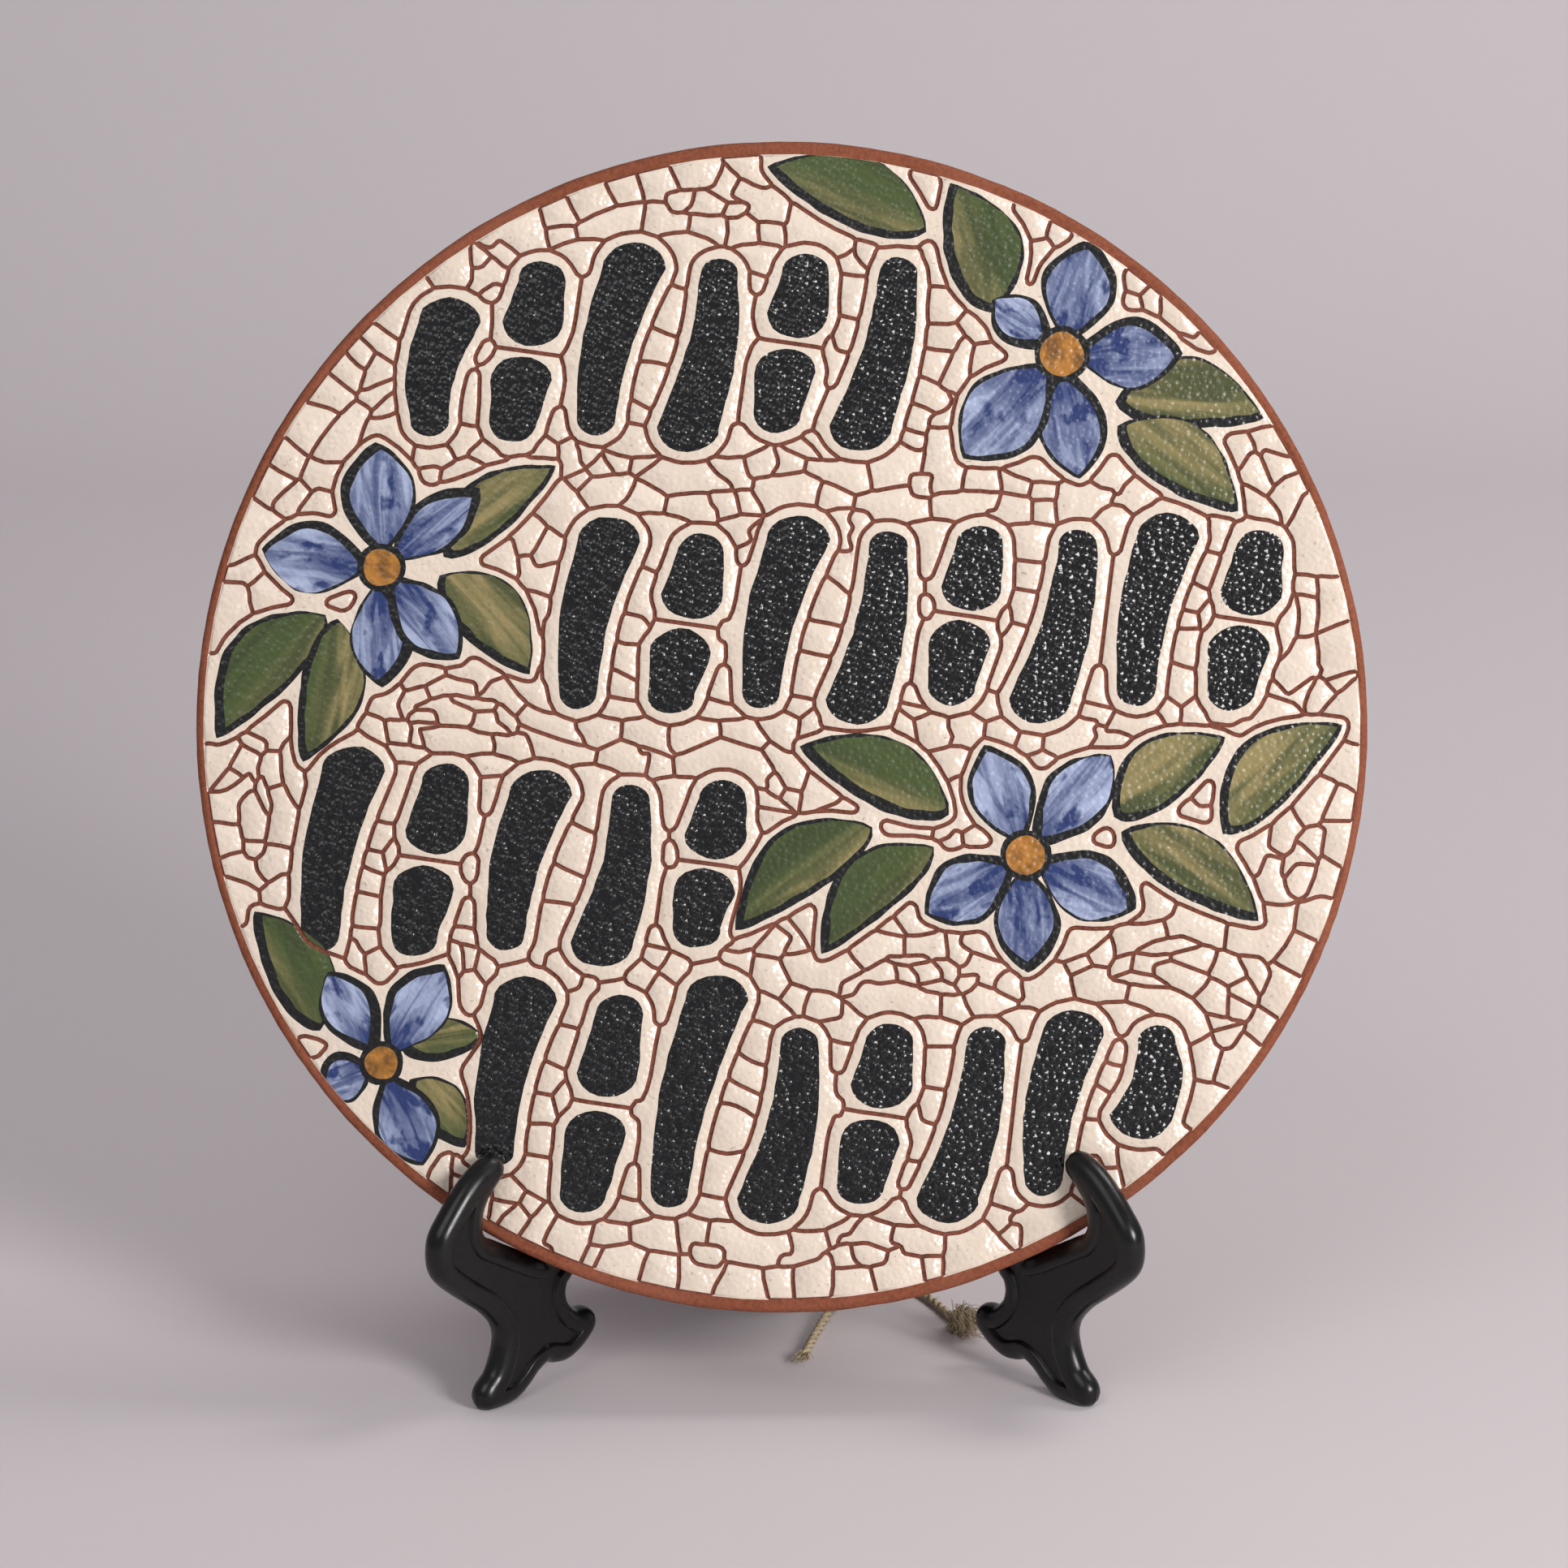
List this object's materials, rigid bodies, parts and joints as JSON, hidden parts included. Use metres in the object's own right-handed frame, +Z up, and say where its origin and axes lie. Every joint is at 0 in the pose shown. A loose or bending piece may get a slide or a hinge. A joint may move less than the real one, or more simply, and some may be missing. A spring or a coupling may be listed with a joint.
{
  "type": "mosaic plaque on a plate stand",
  "caption": "Round glazed terracotta wall plaque with a grooved mosaic face of flowers, leaves and brush marks, leaning in a black two-legged plate stand.",
  "frame": {"origin": "on the floor, below the middle of the plaque and stand", "axes": "+Z up, the plaque's face looks towards -Y, +X to the right as seen from the front"},
  "size_m": [0.2, 0.0764, 0.2098],
  "materials": {
    "terracotta": "fired terracotta with a glazed cream, black, blue and green face",
    "black_plastic": "moulded, glossy black",
    "natural_twine": "natural fibre, matt"
  },
  "bodies": {
    "root": {"plaque": "terracotta", "stand_leg_left": "black_plastic", "stand_leg_right": "black_plastic", "hanging_twine": "natural_twine"}
  },
  "joints": []
}
